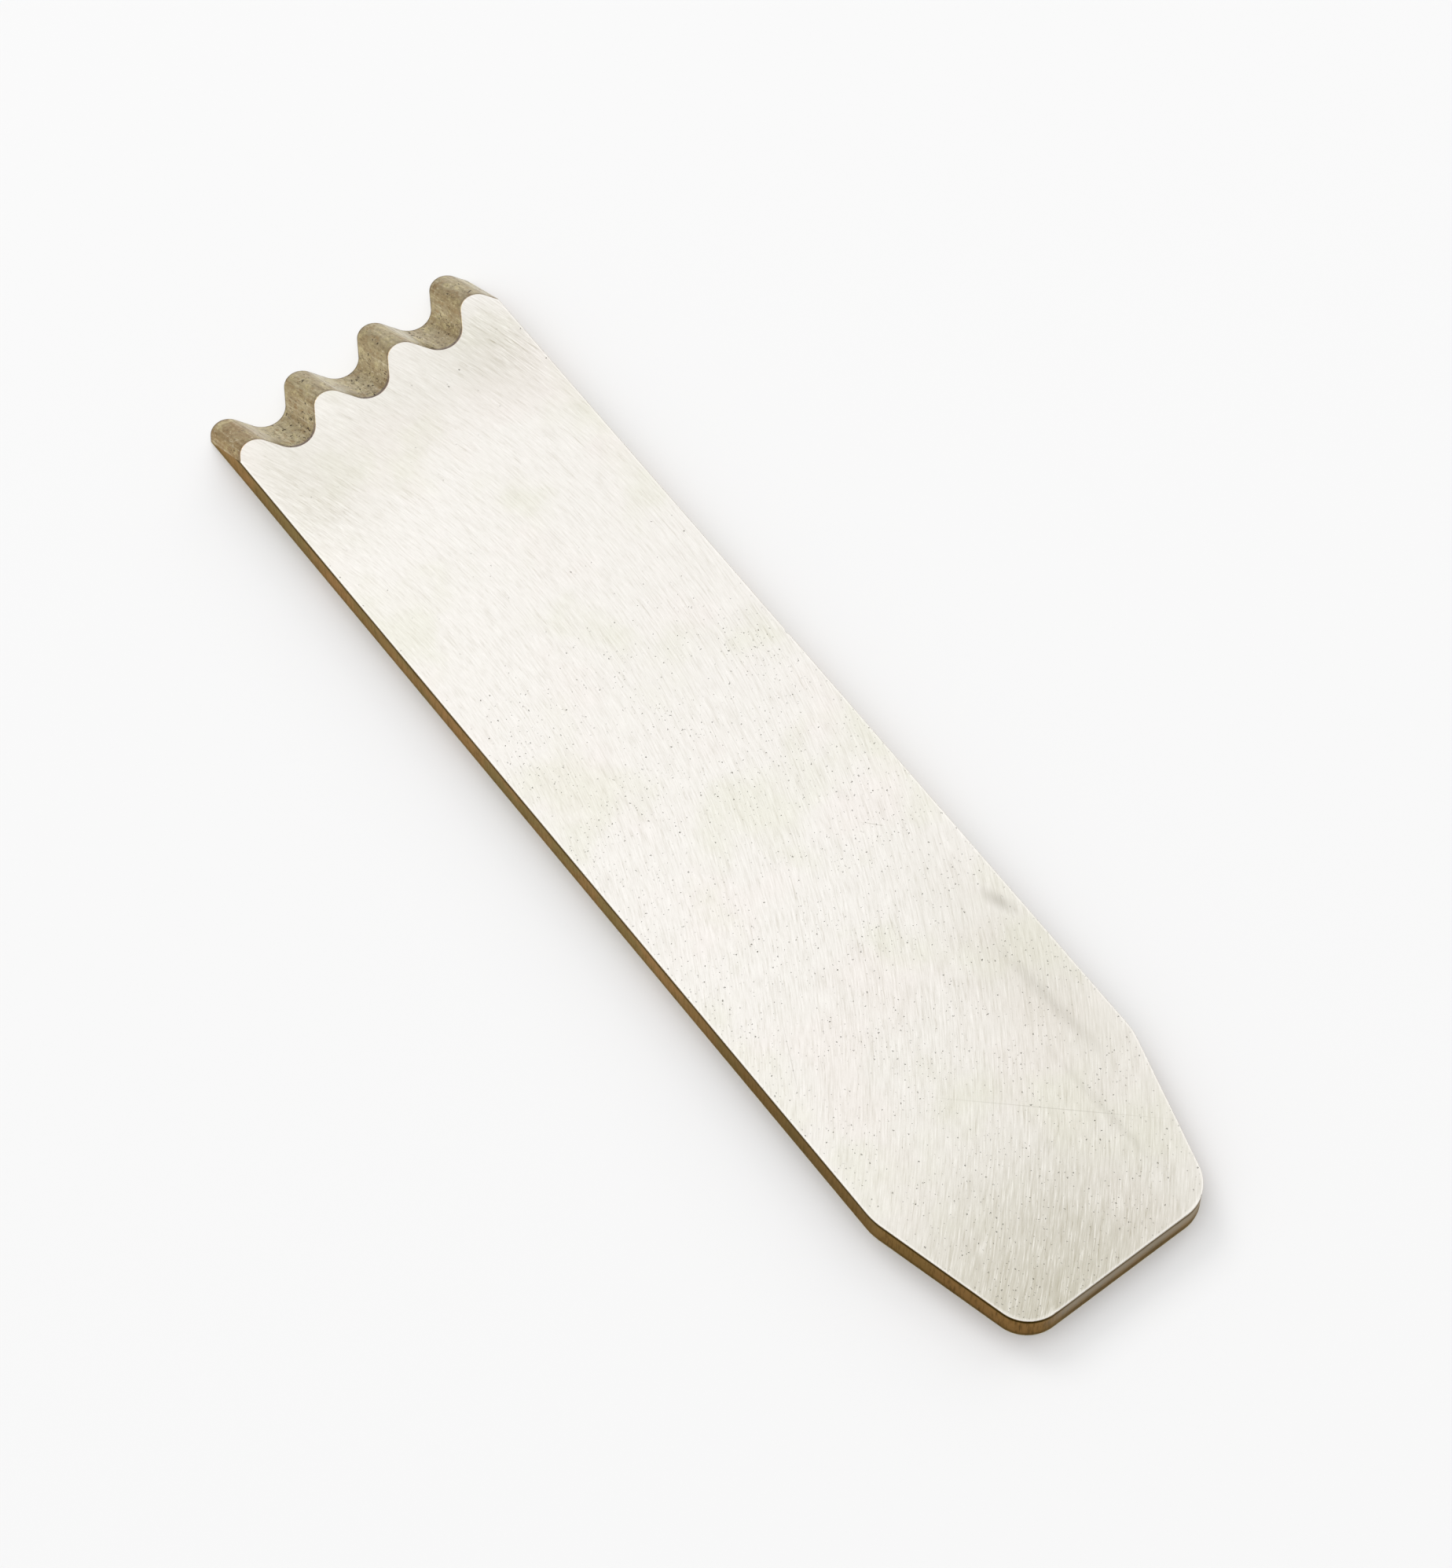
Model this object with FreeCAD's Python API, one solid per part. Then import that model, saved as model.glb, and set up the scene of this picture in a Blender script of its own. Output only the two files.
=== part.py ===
import FreeCAD, Part
import math
import os

# Toothed steel blade for combing and texturing clay: one flat bar of ground steel, with four
# round teeth ground across one end on a single bevel, and the other end drawn in to a blunt,
# round-cornered grip.
#
# Frame: X across the blade, Y along it towards the teeth, Z up through its thickness.
# Origin: middle of the blade's length and width, on the lower face.
# Every size is in millimetres and every angle in degrees.

# ---- the bar ----
blade_length = 101.6        # tooth tips to blunt end
blade_width = 25.4          # across the parallel long sides
blade_thickness = 3.175     # face to face

# ---- the teeth ----
tooth_count = 4
outer_tooth_inset = 1.69    # crest of an outer tooth, from the long side beside it
tooth_offset = -0.18        # middle of the tooth row, from the blade's centre line
tooth_tip_radius = 1.45     # round crest of a tooth, in plan
valley_radius = 1.9         # round root between two teeth, in plan
flank_angle = 58.0          # straight flank between them, from a line across the blade
bevel_angle = 35.0          # between the bevel and the lower face, at the cutting edge

# ---- the blunt end ----
grip_end_width = 17.85      # where the two tapers would meet the end face
taper_angle = 15.0          # each taper, from the blade's length
grip_corner_radius = 3.25   # the two round corners of the end
shoulder_radius = 6.0       # where a long side turns into its taper

# ---- the edges ----
arris_break = 0.15          # chamfer along the edges of both faces, all round but the tooth end

# ---- worked out from the sizes above ----
half_width = blade_width / 2
tip_y = blade_length / 2
grip_end_y = -blade_length / 2
taper_length = (blade_width - grip_end_width) / 2 / math.tan(math.radians(taper_angle))
shoulder_y = grip_end_y + taper_length
bevel_run = blade_thickness / math.tan(math.radians(bevel_angle))

# From a crest to the next root is half a pitch: the crest's arc and the root's arc each turn
# by the flank angle, and the straight flank fills the rest.
tooth_pitch = (blade_width - 2 * outer_tooth_inset) / (tooth_count - 1)
flank_sine = math.sin(math.radians(flank_angle))
flank_cosine = math.cos(math.radians(flank_angle))
both_radii = tooth_tip_radius + valley_radius
flank_length = (tooth_pitch / 2 - both_radii * flank_sine) / flank_cosine
tooth_depth = both_radii * (1 - flank_cosine) + flank_length * flank_sine

# Edges nearer than this to a plane are taken as lying in it.
in_plane = 0.001


def at(x, y):
    return FreeCAD.Vector(x, y, 0)


def start_of(edge):
    return edge.valueAt(edge.FirstParameter)


def end_of(edge):
    return edge.valueAt(edge.LastParameter)


def line(start, end):
    return Part.LineSegment(start, end).toShape()


def arc(centre, radius, first_angle, last_angle):
    """Arc about a centre, from one angle through the angle half way to the other."""
    stops = []
    for angle in (first_angle, (first_angle + last_angle) / 2, last_angle):
        turn = math.radians(angle)
        stops.append(centre + at(radius * math.cos(turn), radius * math.sin(turn)))
    return Part.Arc(*stops).toShape()


def tooth_row():
    """Edges of the row in plan, left to right: every crest, with a root on each side of it.

    The roots past the two outer teeth lie off the blade, so its long sides cut those teeth's
    outer flanks.
    """
    first_crest_x = tooth_offset - tooth_pitch * (tooth_count - 1) / 2
    crest_y = tip_y - tooth_tip_radius
    root_y = tip_y - tooth_depth + valley_radius
    arcs = []
    for tooth in range(tooth_count + 1):
        crest_x = first_crest_x + tooth * tooth_pitch
        root = at(crest_x - tooth_pitch / 2, root_y)
        arcs.append(arc(root, valley_radius, 270 - flank_angle, 270 + flank_angle))
        if tooth < tooth_count:
            crest = at(crest_x, crest_y)
            arcs.append(arc(crest, tooth_tip_radius, 90 + flank_angle, 90 - flank_angle))
    edges = [arcs[0]]
    for next_arc in arcs[1:]:
        edges.append(line(end_of(edges[-1]), start_of(next_arc)))
        edges.append(next_arc)
    return edges


def tooth_cutter():
    """All that lies past the tooth row: its plan, swept down the bevel through the bar."""
    edges = tooth_row()
    left = start_of(edges[0])
    right = end_of(edges[-1])
    past_the_bar = tip_y + 3 * bevel_run
    edges.append(line(right, at(right.x, past_the_bar)))
    edges.append(line(at(right.x, past_the_bar), at(left.x, past_the_bar)))
    edges.append(line(at(left.x, past_the_bar), left))
    plan = Part.Face(Part.Wire(edges))
    bevel = FreeCAD.Vector(0, -bevel_run, blade_thickness)
    plan.translate(-bevel)
    return plan.extrude(bevel * 3)


def bar_outline():
    """Plan of the bar: long sides, round shoulders, tapers, blunt end and a square tooth end."""
    half_end = grip_end_width / 2
    square_corners = (at(half_width, tip_y), at(-half_width, tip_y))
    round_corners = (
        (at(half_width, shoulder_y), shoulder_radius),
        (at(half_end, grip_end_y), grip_corner_radius),
        (at(-half_end, grip_end_y), grip_corner_radius),
        (at(-half_width, shoulder_y), shoulder_radius),
    )
    neighbours = [square_corners[0]] + [corner for corner, radius in round_corners] + [square_corners[1]]
    edges = []
    reached = square_corners[0]
    for (corner, radius), before, after in zip(round_corners, neighbours, neighbours[2:]):
        backward = (before - corner).normalize()
        forward = (after - corner).normalize()
        half_angle = backward.getAngle(forward) / 2
        setback = radius / math.tan(half_angle)
        middle = (backward + forward).normalize() * (radius / math.sin(half_angle) - radius)
        arc_start = corner + backward * setback
        arc_end = corner + forward * setback
        edges.append(line(reached, arc_start))
        edges.append(Part.Arc(arc_start, corner + middle, arc_end).toShape())
        reached = arc_end
    edges.append(line(reached, square_corners[1]))
    edges.append(line(square_corners[1], square_corners[0]))
    return Part.Wire(edges)


def arris_edges(bar):
    """Edges of the bar's two faces, but for the two across its tooth end."""
    chosen = []
    for edge in bar.Edges:
        lies_in_a_face = edge.BoundBox.ZLength < in_plane
        at_tooth_end = edge.BoundBox.YMin > tip_y - in_plane
        if lies_in_a_face and not at_tooth_end:
            chosen.append(edge)
    return chosen


def toothed_blade():
    bar = Part.Face(bar_outline()).extrude(FreeCAD.Vector(0, 0, blade_thickness))
    bar = bar.makeChamfer(arris_break, arris_edges(bar))
    return bar.cut(tooth_cutter()).removeSplitter()


os.makedirs("parts", exist_ok=True)
blade = toothed_blade()
if not blade.isValid() or len(blade.Solids) != 1:
    raise RuntimeError("the blade is not one valid solid")
blade.Solids[0].exportStep("parts/toothed_blade.step")
print("tooth pitch", round(tooth_pitch, 3), "tooth depth", round(tooth_depth, 3))
print("bevel run", round(bevel_run, 3), "taper length", round(taper_length, 3))
print("volume", round(blade.Volume, 1), "faces", len(blade.Faces))
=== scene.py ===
"""Steel clay blade with four round teeth: ground faces, tarnished edges, bevelled tooth row."""

import logging
import math
from dataclasses import dataclass
from enum import Enum
from typing import Mapping, Optional, Sequence, Union

import bpy
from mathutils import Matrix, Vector


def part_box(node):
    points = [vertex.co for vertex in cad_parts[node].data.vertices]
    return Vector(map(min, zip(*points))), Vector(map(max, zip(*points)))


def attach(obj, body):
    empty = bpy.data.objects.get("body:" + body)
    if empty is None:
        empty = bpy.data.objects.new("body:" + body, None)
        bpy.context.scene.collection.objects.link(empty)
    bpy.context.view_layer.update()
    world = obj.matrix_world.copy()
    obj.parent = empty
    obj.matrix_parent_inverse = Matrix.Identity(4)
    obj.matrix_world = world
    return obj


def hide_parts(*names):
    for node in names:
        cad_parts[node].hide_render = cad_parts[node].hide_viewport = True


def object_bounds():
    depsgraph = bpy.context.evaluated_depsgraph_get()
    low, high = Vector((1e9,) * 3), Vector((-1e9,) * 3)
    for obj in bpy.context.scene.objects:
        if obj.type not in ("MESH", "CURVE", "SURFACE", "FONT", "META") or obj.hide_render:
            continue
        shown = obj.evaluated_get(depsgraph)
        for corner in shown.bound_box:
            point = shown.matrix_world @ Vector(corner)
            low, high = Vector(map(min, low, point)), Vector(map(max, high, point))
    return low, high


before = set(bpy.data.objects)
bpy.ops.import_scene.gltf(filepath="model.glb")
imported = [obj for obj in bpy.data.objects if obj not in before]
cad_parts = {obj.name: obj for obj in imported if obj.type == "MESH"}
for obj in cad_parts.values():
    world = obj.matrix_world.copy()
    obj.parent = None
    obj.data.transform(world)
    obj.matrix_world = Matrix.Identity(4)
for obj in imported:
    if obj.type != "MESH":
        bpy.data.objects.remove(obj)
cad_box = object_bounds()

log = logging.getLogger("clay_blade")

MM = 0.001
PER_MM = 1.0 / MM
BODY = "root"
NODE = "toothed_blade"

Scalar = Union[float, "Signal"]
Colour = tuple[float, float, float, float]
Paint = Union[Colour, "Signal"]
Plan = tuple[float, float]
Pair = tuple[float, float]
Triple = tuple[float, float, float]

WHITE: Colour = (1.0, 1.0, 1.0, 1.0)

# Middle value of every random texture, and how far from it they mostly stray.
MIDDLE = 0.5
SWING = 0.25


def tint(code: str) -> Colour:
    """Turn a display colour into the linear colour that shaders take.

    Args:
        code: six hexadecimal digits, red then green then blue.

    Returns:
        The linear colour, opaque.
    """
    top_level = 255.0
    knee = 0.04045
    slope = 12.92
    offset = 0.055
    power = 2.4
    channels = []
    for start in (0, 2, 4):
        shown = int(code[start : start + 2], 16) / top_level
        curved = ((shown + offset) / (1.0 + offset)) ** power
        channels.append(shown / slope if shown <= knee else curved)
    return (channels[0], channels[1], channels[2], 1.0)


class Signal:
    """Output socket of a shader node; arithmetic on values adds Math nodes."""

    def __init__(self, graph: "NodeGraph", socket: bpy.types.NodeSocket) -> None:
        """Keep the socket with the graph that it belongs to."""
        self.graph = graph
        self.socket = socket

    def __add__(self, other: Scalar) -> "Signal":
        """Sum of both."""
        return self.graph.maths("ADD", self, other)

    def __radd__(self, other: Scalar) -> "Signal":
        """Sum with a number on the left."""
        return self.graph.maths("ADD", other, self)

    def __sub__(self, other: Scalar) -> "Signal":
        """This less the other."""
        return self.graph.maths("SUBTRACT", self, other)

    def __rsub__(self, other: Scalar) -> "Signal":
        """A number less this."""
        return self.graph.maths("SUBTRACT", other, self)

    def __mul__(self, other: Scalar) -> "Signal":
        """Product of both."""
        return self.graph.maths("MULTIPLY", self, other)

    def __rmul__(self, other: Scalar) -> "Signal":
        """Product with a number on the left."""
        return self.graph.maths("MULTIPLY", other, self)

    def __abs__(self) -> "Signal":
        """Size without its sign."""
        return self.graph.maths("ABSOLUTE", self)


@dataclass(frozen=True)
class Grain:
    """Fineness of a smooth random value.

    Attributes:
        scale: features per unit of the vector that it is read at.
        detail: number of finer layers.
        rough: strength of each finer layer.
    """

    scale: float
    detail: float = 3.0
    rough: float = 0.6


class NodeGraph:
    """Node tree with the few ways that these finishes add to it."""

    def __init__(self, tree: bpy.types.NodeTree) -> None:
        """Start from an empty tree."""
        self.tree = tree
        tree.nodes.clear()

    def add(
        self,
        kind: str,
        settings: Optional[Mapping[str, object]] = None,
        sockets: Optional[Mapping[str, object]] = None,
    ) -> bpy.types.Node:
        """Add any node.

        Args:
            kind: Blender's name for the node type.
            settings: properties of the node, set first.
            sockets: a value or a Signal for each input, by its identifier or name.

        Returns:
            The new node.
        """
        node = self.tree.nodes.new(kind)
        for name, setting in (settings or {}).items():
            setattr(node, name, setting)
        for key, given in (sockets or {}).items():
            socket = next(one for one in node.inputs if key in (one.identifier, one.name))
            if isinstance(given, Signal):
                self.tree.links.new(given.socket, socket)
            else:
                socket.default_value = given
        return node

    def read(self, node: bpy.types.Node, output: str) -> Signal:
        """Output of a node, by its identifier or name."""
        return Signal(self, next(one for one in node.outputs if output in (one.identifier, one.name)))

    def maths(self, operation: str, *operands: Scalar) -> Signal:
        """Add a Math node.

        Args:
            operation: Blender's name for the operation.
            operands: its inputs, in order.

        Returns:
            The result.
        """
        keys = ("Value", "Value_001", "Value_002")
        node = self.add("ShaderNodeMath", {"operation": operation}, dict(zip(keys, operands)))
        return self.read(node, "Value")

    def vector_maths(self, operation: str, *operands: object) -> Signal:
        """Add a Vector Math node.

        Args:
            operation: Blender's name for an operation that gives a vector.
            operands: its inputs, in order.

        Returns:
            The resulting vector.
        """
        keys = ("Vector", "Vector_001", "Vector_002")
        settings = {"operation": operation}
        return self.read(self.add("ShaderNodeVectorMath", settings, dict(zip(keys, operands))), "Vector")

    def length(self, vector: Signal) -> Signal:
        """Length of a vector."""
        node = self.add("ShaderNodeVectorMath", {"operation": "LENGTH"}, {"Vector": vector})
        return self.read(node, "Value")

    def rise(self, value: Scalar, start: Scalar, end: Scalar) -> Signal:
        """Smooth step.

        Args:
            value: what is tested.
            start: where the result is still 0.
            end: where the result has reached 1; it may lie below start.

        Returns:
            A value from 0 to 1.
        """
        settings = {"interpolation_type": "SMOOTHSTEP"}
        sockets = {"Value": value, "From Min": start, "From Max": end}
        return self.read(self.add("ShaderNodeMapRange", settings, sockets), "Result")

    def blend(self, below: Paint, above: Paint, share: Scalar) -> Signal:
        """Mix two colours.

        Args:
            below: colour where the share is 0.
            above: colour where the share is 1.
            share: how much of the second colour shows.

        Returns:
            The mixed colour.
        """
        settings = {"data_type": "RGBA", "blend_type": "MIX", "clamp_factor": True}
        sockets = {"Factor_Float": share, "A_Color": below, "B_Color": above}
        return self.read(self.add("ShaderNodeMix", settings, sockets), "Result_Color")

    def layers(self, ground: Paint, *coats: tuple[Paint, Scalar]) -> Paint:
        """Lay paints over a colour, one after another.

        Args:
            ground: the colour under them.
            coats: each paint, and how much of it shows.

        Returns:
            The colour on top.
        """
        for paint, share in coats:
            ground = self.blend(ground, paint, share)
        return ground

    def place(self) -> Signal:
        """Position on the blade, in millimetres."""
        found = self.read(self.add("ShaderNodeTexCoord"), "Object")
        return self.vector_maths("MULTIPLY", found, (PER_MM, PER_MM, PER_MM))

    def parts(self, vector: Signal) -> tuple[Signal, Signal, Signal]:
        """X, Y and Z of a vector."""
        node = self.add("ShaderNodeSeparateXYZ", None, {"Vector": vector})
        return self.read(node, "X"), self.read(node, "Y"), self.read(node, "Z")

    def vector(self, x: Scalar, y: Scalar, z: Scalar = 0.0) -> Signal:
        """Vector made of three values."""
        return self.read(self.add("ShaderNodeCombineXYZ", None, {"X": x, "Y": y, "Z": z}), "Vector")

    def noise(self, vector: Signal, grain: Grain) -> Signal:
        """Smooth random value.

        Args:
            vector: where it is read.
            grain: its fineness.

        Returns:
            A value from 0 to 1, mostly near its middle.
        """
        sockets = {"Vector": vector, "Scale": grain.scale, "Detail": grain.detail, "Roughness": grain.rough}
        node = self.add("ShaderNodeTexNoise", {"noise_dimensions": "3D", "normalize": True}, sockets)
        return Signal(self, node.outputs[0])

    def ragged(self, vector: Signal, scale: float, reach: float) -> Signal:
        """Shift positions a little at random, so that round shapes read from them turn ragged.

        Args:
            vector: the positions.
            scale: changes of the shift per unit of the vector.
            reach: about how far they shift.

        Returns:
            The shifted positions.
        """
        sockets = {"Vector": vector, "Scale": scale, "Detail": 1.0}
        jitter = self.read(self.add("ShaderNodeTexNoise", {"noise_dimensions": "3D"}, sockets), "Color")
        centred = self.vector_maths("SUBTRACT", jitter, (MIDDLE, MIDDLE, MIDDLE))
        spread = reach / SWING
        return self.vector_maths("MULTIPLY_ADD", centred, (spread, spread, spread), vector)

    def bump(self, height: Signal) -> Signal:
        """Normal of a surface whose relief is given in millimetres."""
        sockets = {"Strength": 1.0, "Distance": MM, "Height": height}
        return self.read(self.add("ShaderNodeBump", None, sockets), "Normal")

    def steel(self, colour: Paint, roughness: Signal, normal: Signal, sheen: Colour = WHITE) -> None:
        """Close a material's graph with bare metal.

        Args:
            colour: what it reflects when seen face on.
            roughness: its roughness.
            normal: its bumped normal.
            sheen: what it reflects when seen almost edge on.
        """
        sockets = {
            "Base Color": colour,
            "Metallic": 1.0,
            "Roughness": roughness,
            "Normal": normal,
            "Specular Tint": sheen,
        }
        shader = self.add("ShaderNodeBsdfPrincipled", None, sockets)
        self.add("ShaderNodeOutputMaterial", None, {"Surface": self.read(shader, "BSDF")})


def new_graph(name: str) -> tuple[bpy.types.Material, NodeGraph]:
    """Make an empty material.

    Args:
        name: the material's name.

    Returns:
        The material and its graph.
    """
    material = bpy.data.materials.new(name)
    material.use_nodes = True
    return material, NodeGraph(material.node_tree)


@dataclass(frozen=True)
class Mark:
    """Soft oval region of a face, long and thin for a scratch.

    Attributes:
        centre: its middle, in millimetres.
        reach: half its length and half its breadth, in millimetres.
        turn: direction of its length, in degrees from across the blade.
        strength: value in its middle.
    """

    centre: Plan
    reach: Plan
    turn: float = 0.0
    strength: float = 1.0

    def mask(self, graph: NodeGraph, plan: Signal) -> Signal:
        """Draw the region.

        Args:
            graph: the graph that it is added to.
            plan: position on the face, in millimetres.

        Returns:
            Its strength in the middle, fading to 0 at the rim.
        """
        sockets = {
            "Vector": plan,
            "Location": (*self.centre, 0.0),
            "Rotation": (0.0, 0.0, math.radians(self.turn)),
            "Scale": (*self.reach, 1.0),
        }
        mapped = graph.add("ShaderNodeMapping", {"vector_type": "TEXTURE"}, sockets)
        return graph.rise(graph.length(graph.read(mapped, "Vector")), 1.0, 0.0) * self.strength


def all_marks(graph: NodeGraph, plan: Signal, marks: Sequence[Mark]) -> Scalar:
    """Sum the masks of several marks.

    Args:
        graph: the graph that they are added to.
        plan: position on the face, in millimetres.
        marks: the marks.

    Returns:
        The summed mask, or 0 where there are none.
    """
    total: Scalar = 0.0
    for mark in marks:
        total = mark.mask(graph, plan) + total
    return total


def more(usual: float, extra: float, mask: Signal) -> Signal:
    """Usual share, plus the extra where the mask is full."""
    return usual + extra * mask


class Surface(Enum):
    """Kinds of surface that pits lie on, each with its number of dimensions."""

    FLAT = "2D"
    CURVED = "3D"


@dataclass(frozen=True)
class Pitting:
    """Scattered small hollows, one at most in each cell of a random pattern.

    Attributes:
        spacing: size of a cell, in millimetres.
        radius: radius of the largest hollows, in millimetres.
        surface: the kind of surface that they lie on.
        smallest: radius of the smallest hollows, as a share of the largest.
        bottom: radius of a hollow's flat bottom, as a share of its own.
        wobbles: bends of a hollow's rim in the length of a radius.
        raggedness: how far its rim wanders, as a share of the radius.
    """

    spacing: float
    radius: float
    surface: Surface = Surface.CURVED
    smallest: float = 0.35
    bottom: float = 0.25
    wobbles: float = 0.9
    raggedness: float = 1.1

    def mask(self, graph: NodeGraph, vector: Signal, share: Scalar) -> Signal:
        """Draw the hollows.

        Args:
            graph: the graph that they are added to.
            vector: position in millimetres.
            share: share of the cells that have one.

        Returns:
            1 in the middle of a hollow, 0 outside.
        """
        warped = graph.ragged(vector, self.wobbles / self.radius, self.raggedness * self.radius)
        settings = {"voronoi_dimensions": self.surface.value, "feature": "F1"}
        sockets = {"Vector": warped, "Scale": 1.0 / self.spacing, "Randomness": 1.0}
        cells = graph.add("ShaderNodeTexVoronoi", settings, sockets)
        lots = graph.add("ShaderNodeSeparateColor", None, {"Color": graph.read(cells, "Color")})
        size = more(self.smallest, 1.0 - self.smallest, graph.read(lots, "Green"))
        reach = size * (self.radius / self.spacing)
        drawn = graph.maths("LESS_THAN", graph.read(lots, "Red"), share)
        return graph.rise(graph.read(cells, "Distance"), reach, reach * self.bottom) * drawn


@dataclass(frozen=True)
class Band:
    """Line that runs along a wall at one height, in millimetres.

    Attributes:
        height: its middle.
        reach: distances from the middle where it has faded out and where it is full.
    """

    height: float
    reach: Pair

    def mask(self, graph: NodeGraph, z: Signal) -> Signal:
        """1 in the band's middle, 0 past its reach."""
        return graph.rise(abs(z - self.height), *self.reach)


@dataclass(frozen=True)
class Border:
    """Border of the blade's faces, but for the tooth end, in millimetres.

    Attributes:
        half_width: half the width across the long sides.
        half_end: half the width where the tapers would meet the end.
        end_y: the blunt end's place along the blade.
        taper: each taper's angle from the blade's length, in radians.
        softness: how far the two end corners are rounded off.
        highlight_span: distances past the border, below 0 inside it, where the painted highlight starts and
            is full.
    """

    half_width: float
    half_end: float
    end_y: float
    taper: float
    softness: float = 4.0
    highlight_span: Pair = (-0.24, -0.07)

    def rim_highlight(self, graph: NodeGraph, x: Signal, y: Signal) -> Signal:
        """Painted highlight in a narrow line along the border.

        Args:
            graph: the graph that it is added to.
            x: position across the blade.
            y: position along the blade.

        Returns:
            1 at the border, 0 inside it.
        """
        past_side = abs(x) - self.half_width
        past_end = self.end_y - y
        past_taper = (abs(x) - self.half_end) * math.cos(self.taper) + past_end * math.sin(self.taper)
        past_blunt = graph.maths("SMOOTH_MAX", past_taper, past_end, self.softness)
        return graph.rise(graph.maths("MAXIMUM", past_side, past_blunt), *self.highlight_span)


# In the finishes, a name that ends in _span holds where a value starts to count and where it
# counts in full. One that ends in _share holds how much of a paint shows; a pair holds its usual
# share and what is added where its mask is full. One that ends in _rough or _depth adds to the
# roughness, or to the relief in millimetres.


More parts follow.
